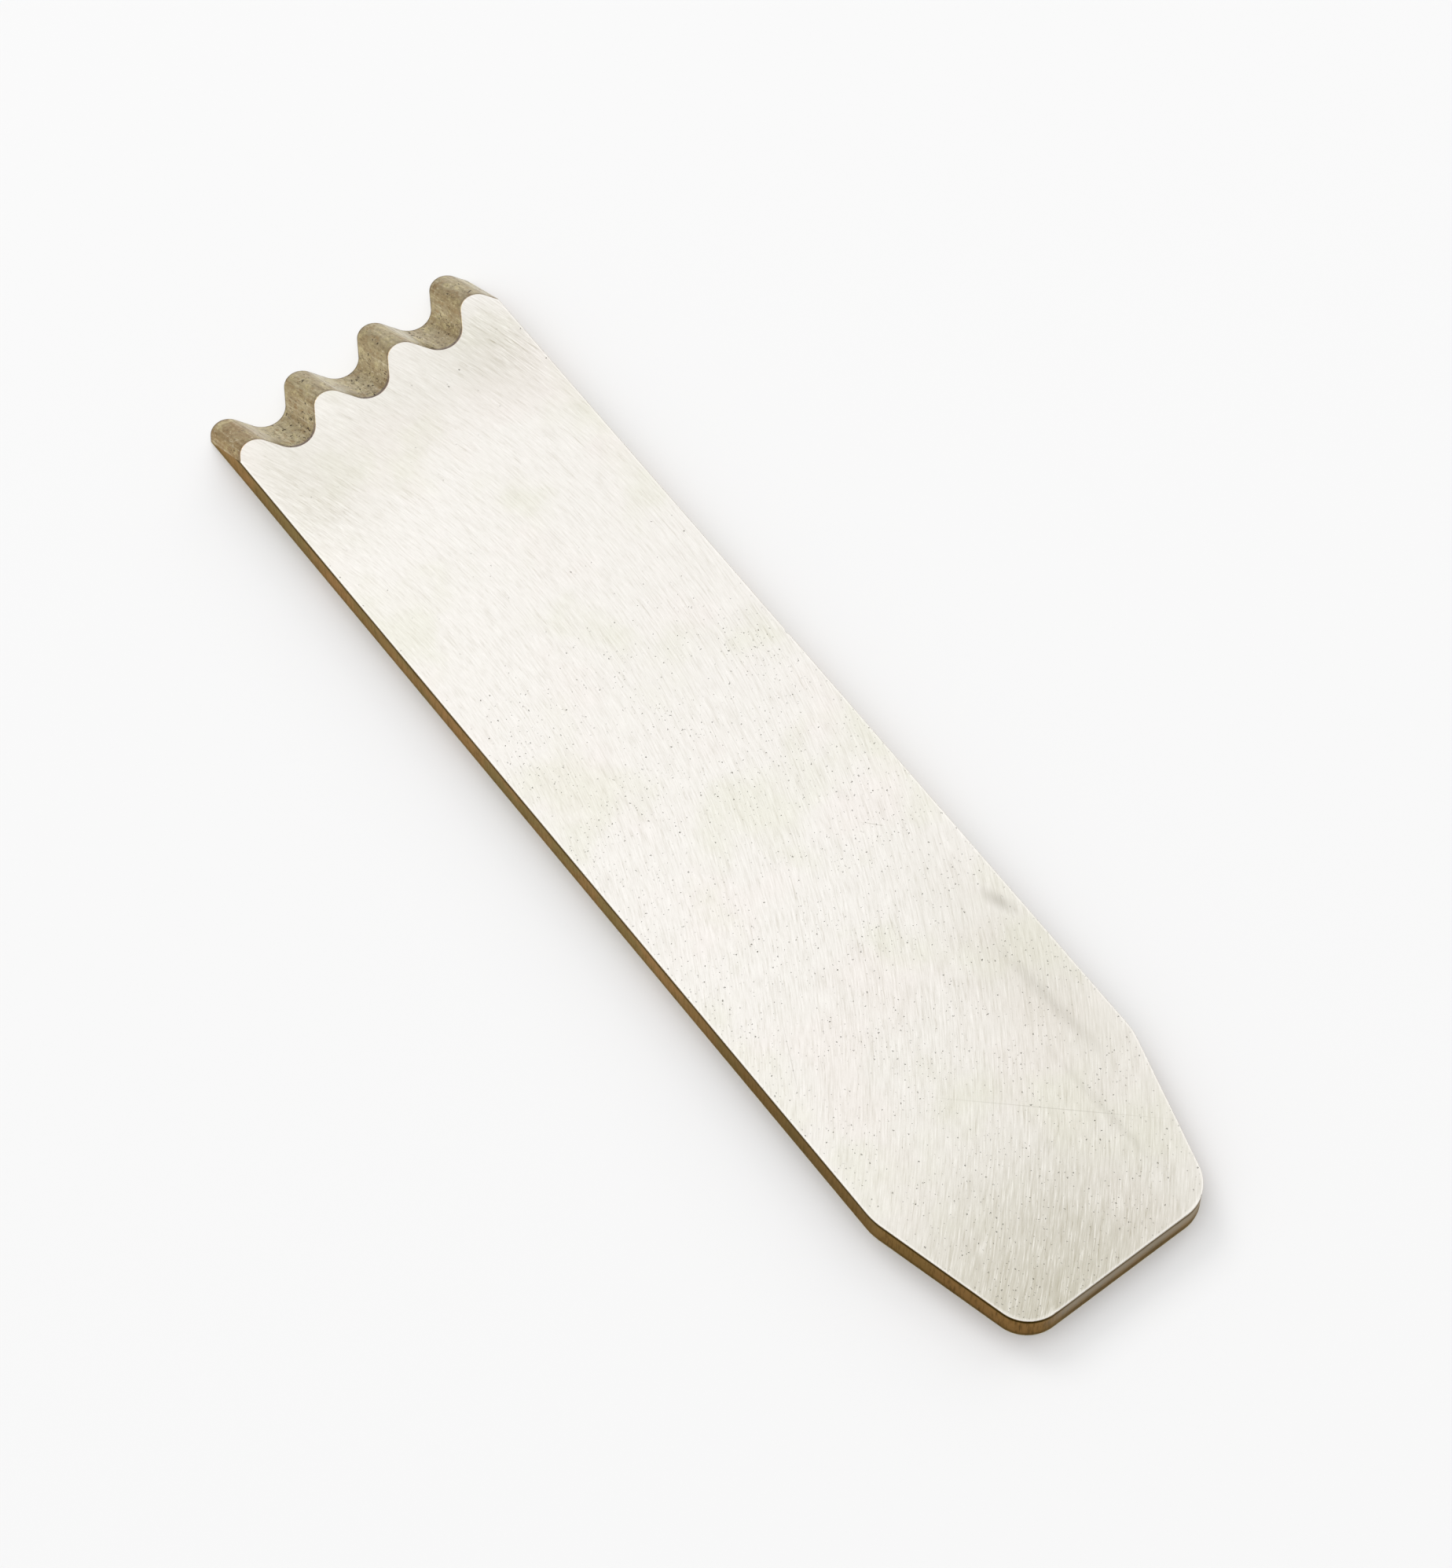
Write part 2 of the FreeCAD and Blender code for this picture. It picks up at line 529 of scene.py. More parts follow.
@dataclass(frozen=True)
class GroundFace:
    """Flat face off a rotary surface grinder: swept lines, mill pits, blotches and handling marks, with
    painted shade towards both ends and a painted highlight along the border.

    Attributes:
        name: the material's name.
        border: the face's border.
        grind_centre: middle of the swept lines, in millimetres.
        streaky: where the lines stand out.
        pitted: where pits crowd together.
        end_shade_and_tint: painted shade towards both ends of the face, darker and a little greener.
        smudged: grey smudges and streaks from rubbing.
        scratched: fine straight scratches.
        sweep_radius: radius at which the lines have their usual length, in millimetres.
        line_stretch: how much shorter than life the way along the lines is read.
        cloud_shift: step between the greenish and the pinkish clouds, in millimetres.
        thin_span: where, along the blade, pits are rare and where they are no longer thinned.
        stray: share of the pits that is left where they are rare.
        crowding: how much more often than the deep pits the faint ones come.
    """

    name: str
    border: Border
    grind_centre: Plan
    streaky: tuple[Mark, ...]
    pitted: tuple[Mark, ...]
    end_shade_and_tint: tuple[Mark, ...]
    smudged: tuple[Mark, ...]
    scratched: tuple[Mark, ...]

    bright: Colour = tint("D3D0CB")
    olive: Colour = tint("CBCABD")
    lilac: Colour = tint("D5CDC9")
    end_shade_colour: Colour = tint("B3AFA2")
    smudge: Colour = tint("8A867A")
    streak: Colour = tint("938C79")
    gleam: Colour = tint("F0EEEA")
    pit: Colour = tint("6A6250")

    sweep_radius: float = 70.0
    line_stretch: float = 0.075
    fine_lines: Grain = Grain(8.0, rough=0.7)
    broad_lines: Grain = Grain(2.2, rough=0.65)
    speckles: Grain = Grain(3.5, rough=0.7)
    fine_dark_span: Pair = (0.46, 0.76)
    fine_light_span: Pair = (0.50, 0.26)
    broad_dark_span: Pair = (0.48, 0.76)
    speckle_span: Pair = (0.48, 0.80)
    fine_dark_share: Pair = (0.25, 0.14)
    fine_light_share: Pair = (0.20, 0.22)
    broad_dark_share: Pair = (0.12, 0.12)
    speckle_share: float = 0.07

    dashes: Pitting = Pitting(0.36, 0.075, Surface.FLAT)
    dash_crowd: Pair = (0.25, 0.40)
    dash_share: Pair = (0.22, 0.35)
    end_shade_share: Pair = (0.75, 0.50)
    smudge_share: Pair = (0.35, 1.00)
    rim_highlight_share: Pair = (0.04, 0.36)

    clouds: Grain = Grain(0.10, rough=0.5)
    cloud_span: Pair = (0.48, 0.66)
    cloud_shift: Triple = (31.0, 57.0, 9.0)
    pink_share: float = 0.32
    green_share: float = 0.60

    deep_pits: Pitting = Pitting(0.78, 0.062, Surface.FLAT)
    faint_pits: Pitting = Pitting(0.546, 0.0465, Surface.FLAT)
    faint_shift: Triple = (11.7, 4.3, 0.0)
    deep_share: float = 0.80
    faint_share: float = 0.45
    pit_crowd: float = 0.34
    crowding: float = 1.3
    pit_clouds: Grain = Grain(0.22, 2.0, 0.5)
    pit_cloud_span: Pair = (0.35, 0.65)
    pit_cloud_share: Pair = (0.30, 1.40)
    thin_span: Pair = (22.0, 4.0)
    stray: float = 0.03
    pit_share: float = 0.85

    roughness: float = 0.30
    line_rough: float = 0.16
    streak_rough: float = 0.10
    pit_rough: float = 0.25
    line_depth: float = 0.0012
    pit_depth: float = 0.03
    scratch_depth: float = 0.004

    def material(self) -> bpy.types.Material:
        """Build the finish.

        Returns:
            The material.
        """
        material, graph = new_graph(self.name)
        plan = graph.vector_maths("MULTIPLY", graph.place(), (1.0, 1.0, 0.0))
        x, y, _ = graph.parts(plan)
        swept = self.swept(graph, x, y)
        fine = graph.noise(swept, self.fine_lines)
        broad = graph.noise(swept, self.broad_lines)
        speckle = graph.rise(graph.noise(plan, self.speckles), *self.speckle_span)
        streaky = graph.rise(all_marks(graph, plan, self.streaky), 0.0, 1.0)
        scratched = all_marks(graph, plan, self.scratched)
        pits = self.pitting(graph, plan, y)
        fine_dark = graph.rise(fine, *self.fine_dark_span) * more(*self.fine_dark_share, streaky)
        fine_light = graph.rise(fine, *self.fine_light_span) * more(*self.fine_light_share, streaky)
        broad_dark = graph.rise(broad, *self.broad_dark_span) * more(*self.broad_dark_share, streaky)
        dashes = self.dashes.mask(graph, swept, more(*self.dash_crowd, streaky))
        colour = graph.layers(
            self.blotches(graph, plan),
            # Painted shade towards both ends of the face, a little greener.
            (self.end_shade_colour, all_marks(graph, plan, self.end_shade_and_tint) * more(*self.end_shade_share, broad)),
            (self.streak, fine_dark + broad_dark + speckle * self.speckle_share),
            (self.gleam, fine_light),
            (self.streak, dashes * more(*self.dash_share, streaky)),
            (self.smudge, all_marks(graph, plan, self.smudged) * more(*self.smudge_share, broad)),
            (self.smudge, scratched),
            (self.pit, pits * self.pit_share),
            # Painted highlight: a narrow bright line along the face's border.
            (self.gleam, self.border.rim_highlight(graph, x, y) * more(*self.rim_highlight_share, broad)),
        )
        roughness = more(self.roughness, self.line_rough, fine - MIDDLE)
        roughness = roughness + self.streak_rough * streaky + self.pit_rough * pits
        height = self.line_depth * (fine + broad) - self.pit_depth * pits - self.scratch_depth * scratched
        graph.steel(colour, roughness, graph.bump(height))
        return material

    def swept(self, graph: NodeGraph, x: Signal, y: Signal) -> Signal:
        """Coordinates that run across and along the swept grinding lines.

        Args:
            graph: the graph that they are added to.
            x: position across the blade.
            y: position along the blade.

        Returns:
            Distance across the lines, and the shortened distance along them.
        """
        across = x - self.grind_centre[0]
        along = y - self.grind_centre[1]
        radius = graph.maths("SQRT", across * across + along * along)
        turned = graph.maths("ARCTAN2", along, across) * (self.sweep_radius * self.line_stretch)
        return graph.vector(radius, turned)

    def blotches(self, graph: NodeGraph, plan: Signal) -> Paint:
        """Faint greenish and pinkish clouds over the bright metal.

        Args:
            graph: the graph that they are added to.
            plan: position on the face.

        Returns:
            The colour with both.
        """
        shifted = graph.vector_maths("ADD", plan, self.cloud_shift)
        green = graph.rise(graph.noise(plan, self.clouds), *self.cloud_span) * self.green_share
        pink = graph.rise(graph.noise(shifted, self.clouds), *self.cloud_span) * self.pink_share
        return graph.layers(self.bright, (self.lilac, pink), (self.olive, green))

    def pitting(self, graph: NodeGraph, plan: Signal, y: Signal) -> Signal:
        """Small pits, crowded in places and rare near the teeth.

        Args:
            graph: the graph that they are added to.
            plan: position on the face.
            y: position along the blade.

        Returns:
            1 in the middle of a pit, 0 outside.
        """
        evenly = graph.rise(y, *self.thin_span)
        cloud = graph.rise(graph.noise(plan, self.pit_clouds), *self.pit_cloud_span)
        usual = self.pit_crowd * more(*self.pit_cloud_share, cloud) * (self.stray + evenly)
        crowd = usual + all_marks(graph, plan, self.pitted)
        shifted = graph.vector_maths("ADD", plan, self.faint_shift)
        deep = self.deep_pits.mask(graph, plan, crowd)
        faint = self.faint_pits.mask(graph, shifted, crowd * self.crowding)
        return graph.maths("MAXIMUM", deep * self.deep_share, faint * self.faint_share)


@dataclass(frozen=True)
class TarnishedEdge:
    """Narrow edge of the bar: brown and tarnished, ground across, dark beside the upper arris, with painted
    shade towards its foot and a painted highlight along its top.

    Attributes:
        name: the material's name.
        thickness: face to face, in millimetres.
        end_y: the blunt end's place along the blade, in millimetres.
        through_share: how much shorter than life the way down the edge is read.
        taper_span: distances from the blunt end where the tapers' tarnishing starts and is full.
        end_span: distances from it where the end's lighter grey upper band starts and is full.
        end_left_span: places across the blade where that band starts and is full.
        shoulder: distance from the blunt end of the darkest part of the long sides.
        seam: very dark line beside the upper arris.
        seam_gap: distance from the upper face to that line.
        seam_drop: how much lower the line lies on the blunt end.
        seam_share: how much of it shows, what the tapers add and what the blunt end adds.
        gleam_drop: how much lower the painted highlight at the arris reaches there.
        wander: how far the lines along the arrises stray up and down.
    """

    name: str
    thickness: float
    end_y: float

    brown: Colour = tint("B28F65")
    umber: Colour = tint("8F6E46")
    olive: Colour = tint("98885F")
    lilac_grey: Colour = tint("B1ADA6")
    dark: Colour = tint("4A3822")
    seam: Colour = tint("21180F")
    deep_brown: Colour = tint("6F5A3A")
    fringe: Colour = tint("CFC07A")
    gleam: Colour = tint("F0EEEA")
    sheen: Colour = tint("DCCCB0")

    through_share: float = 0.10
    lines: Grain = Grain(4.5)
    line_span: Pair = (0.46, 0.72)
    line_share: Pair = (0.36, 0.30)
    clouds: Grain = Grain(0.16, rough=0.5)
    cloud_span: Pair = (0.42, 0.62)
    mottling: Grain = Grain(1.1)
    mottle_span: Pair = (0.48, 0.75)
    mottle_share: float = 0.60

    taper_span: Pair = (15.0, 12.5)
    taper_share: float = 0.70
    shoulder: float = 22.0
    shoulder_span: Pair = (20.0, 5.0)
    shoulder_share: float = 0.75
    end_span: Pair = (2.6, 0.5)
    end_left_span: Pair = (-8.0, -4.5)

    end_band_span: Pair = (0.9, 1.8)
    end_band_share: Pair = (0.32, 0.62)
    end_line_share: Pair = (0.75, 0.40)
    end_seam: Band = Band(0.66, (0.30, 0.05))
    end_seam_share: float = 0.55

    wander: float = 0.20
    shade_gap: Pair = (0.85, 0.50)
    shade_share: float = 0.45
    seam_gap: float = 0.32
    seam_reach: Pair = (0.26, 0.14)
    seam_drop: float = 0.12
    seam_share: Triple = (0.88, 0.08, -0.42)
    lower_span: Pair = (0.70, 0.35)
    lower_share: Pair = (0.35, 0.52)
    foot_span: Pair = (0.20, 0.08)
    foot_share: float = 0.60
    gleam_gap: Pair = (0.08, 0.03)
    gleam_drop: float = 0.10
    gleam_share: float = 0.80

    pits: Pitting = Pitting(0.45, 0.12)
    pit_crowd: float = 0.16

    roughness: float = 0.38
    line_rough: float = 0.20
    pit_rough: float = 0.15
    line_depth: float = 0.004
    mottle_depth: float = 0.006
    pit_depth: float = 0.03

    def material(self) -> bpy.types.Material:
        """Build the finish.

        Returns:
            The material.
        """
        material, graph = new_graph(self.name)
        place = graph.place()
        x, y, z = graph.parts(place)
        across = graph.vector_maths("MULTIPLY", place, (1.0, 1.0, self.through_share))
        lines = graph.noise(across, self.lines)
        cloud = graph.noise(place, self.clouds)
        mottle = graph.noise(place, self.mottling)
        from_end = y - self.end_y
        at_taper = graph.rise(from_end, *self.taper_span)
        on_end = graph.rise(from_end, *self.end_span) * graph.rise(x, *self.end_left_span)
        near_shoulder = graph.rise(abs(from_end - self.shoulder), *self.shoulder_span) * (1.0 - at_taper)
        colour = graph.layers(
            self.brown,
            (self.olive, graph.rise(cloud, *self.cloud_span)),
            (self.umber, at_taper * self.taper_share),
            (self.deep_brown, near_shoulder * self.shoulder_share),
            (self.umber, graph.rise(mottle, *self.mottle_span) * self.mottle_share),
            (self.dark, graph.rise(lines, *self.line_span) * more(*self.line_share, at_taper)),
        )
        colour = self.end_band(graph, colour, on_end, z, lines)
        colour = self.arrises(graph, colour, z + self.wander * (mottle - MIDDLE), at_taper, on_end)
        pits = self.pits.mask(graph, place, self.pit_crowd)
        # Painted highlight: a bright line along the top of the edge at the upper arris, reaching lower on
        # the blunt end.
        gap = self.thickness - z - self.gleam_drop * on_end
        bright = graph.rise(gap, *self.gleam_gap) * self.gleam_share
        colour = graph.layers(colour, (self.dark, pits), (self.gleam, bright))
        roughness = more(self.roughness, self.line_rough, lines - MIDDLE) + self.pit_rough * pits
        height = self.line_depth * lines + self.mottle_depth * mottle - self.pit_depth * pits
        graph.steel(colour, roughness, graph.bump(height), self.sheen)
        return material

    def end_band(self, graph: NodeGraph, colour: Paint, on_end: Signal, z: Signal, lines: Signal) -> Paint:
        """Lay the blunt end's lighter grey upper band, with a dark seam under it.

        Args:
            graph: the graph that it is added to.
            colour: the edge's colour so far.
            on_end: 1 on the blunt end.
            z: height in the thickness.
            lines: fine random value that runs down the edge.

        Returns:
            The colour with the band.
        """
        band = more(*self.end_band_share, graph.rise(z, *self.end_band_span))
        grey_band = on_end * band * more(*self.end_line_share, lines)
        seam = on_end * self.end_seam.mask(graph, z) * self.end_seam_share
        return graph.layers(colour, (self.lilac_grey, grey_band), (self.dark, seam))

    def arrises(
        self, graph: NodeGraph, colour: Paint, z: Signal, at_taper: Signal, on_end: Signal
    ) -> Paint:
        """Darken the edge beside the upper face, add painted shade towards its foot, and leave a pale
        fringe at its foot.

        Args:
            graph: the graph that it is added to.
            colour: the edge's colour so far.
            z: height in the thickness, a little ragged.
            at_taper: 1 on the tapers and the blunt end.
            on_end: 1 on the blunt end.

        Returns:
            The colour with both lines.
        """
        usual, extra, on_blunt = self.seam_share
        strength = more(usual, extra, at_taper) + on_blunt * on_end
        seam = Band(self.thickness - self.seam_gap, self.seam_reach)
        seam_mask = seam.mask(graph, z + self.seam_drop * on_end)
        return graph.layers(
            colour,
            (self.deep_brown, graph.rise(self.thickness - z, *self.shade_gap) * self.shade_share),
            (self.seam, seam_mask * strength),
            # Painted shade: darker towards the foot of the edge, beside the floor.
            (self.deep_brown, graph.rise(z, *self.lower_span) * more(*self.lower_share, at_taper)),
            (self.fringe, graph.rise(z, *self.foot_span) * self.foot_share),
        )


@dataclass(frozen=True)
class ToothBevel:
    """Bevel ground across the teeth: tan, pitted in the roots, with painted shade on the crests, roots,
    left flanks and left lobe.

    Attributes:
        name: the material's name.
        thickness: face to face, in millimetres.
        run: how far the bevel goes back over the thickness, in millimetres.
        tip_y: the tooth tips' place along the blade, in millimetres.
        depth: crest to root, in millimetres.
        pitch: crest to crest, in millimetres.
        crest_x: where one crest lies across the blade, in millimetres.
        scratched: fine scratches, placed in plan.
        slits: dark slit-like pits, placed in plan.
        through_share: how much shorter than life the way down the bevel is read.
        crest_reach: share of the depth over which a crest's painted shade starts.
        crest_tip: distance from the tips where it is full, in millimetres.
        root_reach: share of the depth where a root's painted shade, and its crowding of pits, starts.
        lobe_span: places across the blade where the left lobe's painted shade starts and is full.
    """

    name: str
    thickness: float
    run: float
    tip_y: float
    depth: float
    pitch: float
    crest_x: float
    scratched: tuple[Mark, ...]
    slits: tuple[Mark, ...]

    tan: Colour = tint("C9BE9C")
    grey: Colour = tint("D6D2C6")
    umber: Colour = tint("A28C60")
    brown: Colour = tint("9C7C4C")
    dark: Colour = tint("453828")
    plum: Colour = tint("7A6C6B")
    pale: Colour = tint("F0E6C8")
    straw: Colour = tint("D6C795")

    through_share: float = 0.07
    lines: Grain = Grain(4.5)
    clouds: Grain = Grain(0.55)
    stains: Grain = Grain(1.5)
    grit: Grain = Grain(4.2, 4.0, 0.75)

    crest_reach: float = 0.55
    crest_tip: float = 0.10
    root_reach: float = 0.45
    lobe_span: Pair = (-8.6, -10.8)
    flank_span: Pair = (0.1, -0.9)
    cloud_span: Pair = (0.40, 0.62)
    cloud_share: float = 0.60
    flank_shade_share: Pair = (0.55, 0.30)
    crest_shade_share: Pair = (0.40, 0.30)
    root_shade_share: Pair = (0.35, 0.35)
    lobe_shade_share: Pair = (0.35, 0.35)

    brown_stain_span: Pair = (0.52, 0.68)
    straw_stain_span: Pair = (0.48, 0.34)
    stain_share: float = 0.55
    dark_grit_span: Pair = (0.52, 0.70)
    pale_grit_span: Pair = (0.47, 0.30)
    dark_grit_share: Pair = (0.58, 0.25)
    pale_grit_share: float = 0.45
    dark_line_span: Pair = (0.52, 0.76)
    pale_line_span: Pair = (0.48, 0.25)
    line_share: float = 0.30

    pits: Pitting = Pitting(0.48, 0.20)
    pit_crowd: Pair = (0.14, 0.65)
    pit_span: Pair = (0.1, 0.5)
    pit_share: float = 0.90
    blots: Pitting = Pitting(1.1, 0.45)
    blot_crowd: Pair = (0.30, 0.40)
    blot_share: float = 0.55
    upper_gap: Pair = (0.24, 0.05)
    upper_share: Pair = (0.25, 0.50)
    cutting_span: Pair = (0.16, 0.03)
    cutting_share: float = 0.45

    roughness: float = 0.34
    line_rough: float = 0.22
    pit_rough: float = 0.15
    line_depth: float = 0.003
    grit_depth: float = 0.005
    scratch_depth: float = 0.012
    pit_depth: float = 0.03

    def material(self) -> bpy.types.Material:
        """Build the finish.

        Returns:
            The material.
        """
        material, graph = new_graph(self.name)
        x, y, z = graph.parts(graph.place())
        row = y + z * (self.run / self.thickness)
        plan = graph.vector(x, y)
        unrolled = graph.vector(x, row, z)
        lines = graph.noise(graph.vector(x, row, z * self.through_share), self.lines)
        grit = graph.noise(unrolled, self.grit)
        root = graph.rise(self.tip_y - row, self.depth * self.root_reach, self.depth)
        pits = self.pits.mask(graph, unrolled, more(*self.pit_crowd, root))
        pits = graph.rise(pits, *self.pit_span)
        blots = self.blots.mask(graph, unrolled, more(*self.blot_crowd, root))
        slits = all_marks(graph, plan, self.slits)
        scratched = all_marks(graph, plan, self.scratched)
        upper_line = graph.rise(self.thickness - z, *self.upper_gap) * more(*self.upper_share, root)
        colour = graph.layers(
            # Broad tone, with painted shade on the crests, roots, left flanks and left lobe.
            self.tone_and_shade(graph, x, row, root, unrolled),
            (self.dark, graph.rise(grit, *self.dark_grit_span) * more(*self.dark_grit_share, root)),
            (self.pale, graph.rise(grit, *self.pale_grit_span) * self.pale_grit_share),
            (self.dark, graph.rise(lines, *self.dark_line_span) * self.line_share),
            (self.pale, graph.rise(lines, *self.pale_line_span) * self.line_share),
            (self.brown, blots * self.blot_share),
            (self.dark, pits * self.pit_share),
            (self.dark, slits),
            (self.pale, scratched),
            (self.plum, upper_line),
            (self.dark, graph.rise(z, *self.cutting_span) * self.cutting_share),
        )
        roughness = more(self.roughness, self.line_rough, lines - MIDDLE) + self.pit_rough * pits
        height = self.line_depth * lines + self.grit_depth * grit - self.pit_depth * (pits + slits)
        graph.steel(colour, roughness, graph.bump(height - self.scratch_depth * scratched))
        return material

    def tone_and_shade(self, graph: NodeGraph, x: Signal, row: Signal, root: Signal, unrolled: Signal) -> Paint:
        """Broad colours of the bevel: tan with grey mottle and stains, and painted shade on the left
        flanks, crests, roots and left lobe.

        Args:
            graph: the graph that they are added to.
            x: position across the blade.
            row: position along the blade, carried down the bevel to the lower face.
            root: 1 in the roots.
            unrolled: position on the bevel.

        Returns:
            The colour under the grit, lines and pits.
        """
        mottle = graph.rise(graph.noise(unrolled, self.clouds), *self.cloud_span)
        stain = graph.noise(unrolled, self.stains)
        # Painted shade on the crests, on the flanks that face left, on the roots and on the left lobe.
        crest = graph.rise(self.tip_y - row, self.depth * self.crest_reach, self.crest_tip)
        turn = (x - self.crest_x) * (math.tau / self.pitch)
        left_flank_shade = graph.rise(graph.maths("SINE", turn), *self.flank_span)
        left_lobe_shade = graph.rise(x, *self.lobe_span)
        return graph.layers(
            self.tan,
            (self.grey, mottle * self.cloud_share),
            (self.umber, left_flank_shade * more(*self.flank_shade_share, mottle)),
            (self.umber, crest * more(*self.crest_shade_share, mottle)),
            (self.umber, root * more(*self.root_shade_share, mottle)),
            (self.brown, left_lobe_shade * more(*self.lobe_shade_share, mottle)),
            (self.brown, graph.rise(stain, *self.brown_stain_span) * self.stain_share),
            (self.straw, graph.rise(stain, *self.straw_stain_span) * self.stain_share),
        )


class Side(Enum):
    """The blade's sides, each a row of its bake sheet."""

    LOWER_FACE = 0
    UPPER_FACE = 1
    RIGHT_EDGE = 2
    LEFT_EDGE = 3
    BLUNT_EDGE = 4
    TEETH = 5


class Slot(Enum):
    """Material slots of the blade's mesh."""

    UPPER_FACE = 0
    EDGE = 1
    BEVEL = 2
    LOWER_FACE = 3


@dataclass(frozen=True)
class Nick:
    """Small dent in the edge of the upper face.

    Attributes:
        centre: its place on the outline, in metres.
        half_width: half its width along the edge, in metres.
        depth: how far it cuts in, in metres.
        height: how far it reaches down the edge, in metres.
    """

    centre: Plan
    half_width: float
    depth: float
    height: float

    def cut(self, place: Vector, gap: float) -> float:
        """Depth of the dent at a place on the outline.

        Args:
            place: the place, in plan.
            gap: height from the place up to the face.

        Returns:
            How far the place moves into the steel.
        """
        away = (place - Vector(self.centre)).length / self.half_width
        below = gap / self.height
        return self.depth * max(0.0, 1.0 - away * away) * max(0.0, 1.0 - below * below)


@dataclass(frozen=True)
class Stop:
    """One stop on the blade's outline.

    Attributes:
        low: its place in plan at the lower face.
        high: its place in plan at the upper face.
        ways_out: unit vectors out of the steel, two at a corner.
        side: the side that runs from this stop to the next.
        low_break: radius of the lower arris.
        high_break: radius of the upper arris.
    """

    low: Vector
    high: Vector
    ways_out: tuple[Vector, ...]
    side: Side
    low_break: float
    high_break: float

    def inward(self, inset: float) -> Vector:
        """Step into the steel that keeps the same distance from every wall at the stop.

        Args:
            inset: the distance.

        Returns:
            The step, in plan.
        """
        if len(self.ways_out) == 1:
            return self.ways_out[0] * -inset
        first, second = self.ways_out
        both = first + second
        return both * (-2.0 * inset / both.dot(both))

    def at_height(self, share: float, inset: float) -> Vector:
        """Place in plan at a share of the thickness, moved in by the inset."""
        return self.low.lerp(self.high, share) + self.inward(inset)


@dataclass(frozen=True)
class ToothedBlade:
    """The blade itself, with every length in metres and every angle in degrees.

    Attributes:
        low: lowest corner of the blade's box.
        high: highest corner of the blade's box.
        nicks: dents in the upper face's edge.
        tooth_count: teeth in the row.
        outer_tooth_inset: crest of an outer tooth, from the long side beside it.
        tooth_offset: middle of the row, from the blade's centre line.
        tooth_tip_radius: round crest of a tooth.
        valley_radius: round root between two teeth.
        flank_angle: straight flank between them, from across the blade.
        bevel_angle: between the bevel and the lower face.
        grip_end_width: where the two tapers would meet the end.
        taper_angle: each taper, from the blade's length.
        grip_corner_radius: the end's two corners.
        shoulder_radius: where a long side turns into its taper.
        arris_break: rounding along the edges of both faces.
        bevel_break: rounding where the bevel meets the upper face.
        cutting_break: rounding of the cutting edge.
        break_fade: distance over which the roundings change beside the teeth.
        straight_step: distance between stops on a straight wall.
        arc_step: turn between stops on the teeth, and twice the turn on the bar's corners.
        arris_steps: steps round an arris.
        wall_steps: steps between the arrises.
        nick_steps: stops on each side of a nick's middle.
        crease_angle: turn from which an edge shows sharp.
        edge_ripple: depth of the hollows that hand grinding left in the walls.
        ripple_waves: rate, in radians per millimetre, and start of each wave of them.
    """

    low: Vector
    high: Vector
    nicks: tuple[Nick, ...]
    tooth_count: int = 4
    outer_tooth_inset: float = 1.69 * MM
    tooth_offset: float = -0.18 * MM
    tooth_tip_radius: float = 1.45 * MM
    valley_radius: float = 1.9 * MM
    flank_angle: float = 58.0
    bevel_angle: float = 35.0
    grip_end_width: float = 17.85 * MM
    taper_angle: float = 15.0
    grip_corner_radius: float = 3.25 * MM
    shoulder_radius: float = 6.0 * MM
    arris_break: float = 0.06 * MM
    bevel_break: float = 0.05 * MM
    cutting_break: float = 0.02 * MM
    break_fade: float = 3.0 * MM
    straight_step: float = 0.8 * MM
    arc_step: float = 4.0
    arris_steps: int = 4
    wall_steps: int = 6
    nick_steps: int = 4
    crease_angle: float = 27.0
    edge_ripple: float = 0.012 * MM
    ripple_waves: tuple[Pair, ...] = ((0.9, 0.0), (0.37, 1.3))

    @property
    def thickness(self) -> float:
        """Face to face."""
        return self.high.z - self.low.z

    @property
    def half_width(self) -> float:
        """Half the width across the long sides."""
        return (self.high.x - self.low.x) / 2

    @property
    def bevel_run(self) -> float:
        """How far the bevel goes back over the thickness."""
        return self.thickness / math.tan(math.radians(self.bevel_angle))

    @property
    def pitch(self) -> float:
        """Crest to crest."""
        return 2 * (self.half_width - self.outer_tooth_inset) / (self.tooth_count - 1)

    @property
    def tooth_depth(self) -> float:
        """Crest to root.

        Returns:
            The depth.
        """
        turn = math.radians(self.flank_angle)
        radii = self.tooth_tip_radius + self.valley_radius
        flank = (self.pitch / 2 - radii * math.sin(turn)) / math.cos(turn)
        return radii * (1 - math.cos(turn)) + flank * math.sin(turn)

    def breaks(self, side: Side, from_corner: float) -> tuple[float, float]:
        """Radii of the two arrises at a stop.

        Args:
            side: the side that the stop is on.
            from_corner: distance from the corner between a long side and the teeth.

        Returns:
            The lower and the upper radius.
        """
        if side is Side.TEETH:
            return self.cutting_break, self.bevel_break
        share = min(1.0, from_corner / self.break_fade)
        lower = self.cutting_break + (self.arris_break - self.cutting_break) * share
        upper = self.bevel_break + (self.arris_break - self.bevel_break) * share
        return lower, upper

    def stop(self, low: Vector, high: Vector, ways_out: tuple[Vector, ...], side: Side) -> Stop:
        """Make a stop with the arrises that belong there.

        Args:
            low: its place in plan at the lower face.
            high: its place in plan at the upper face.
            ways_out: unit vectors out of the steel.
            side: the side that runs from it to the next.

        Returns:
            The stop.
        """
        from_corner = max(0.0, self.high.y - self.tooth_depth - low.y)
        low_break, high_break = self.breaks(side, from_corner)
        return Stop(low, high, ways_out, side, low_break, high_break)

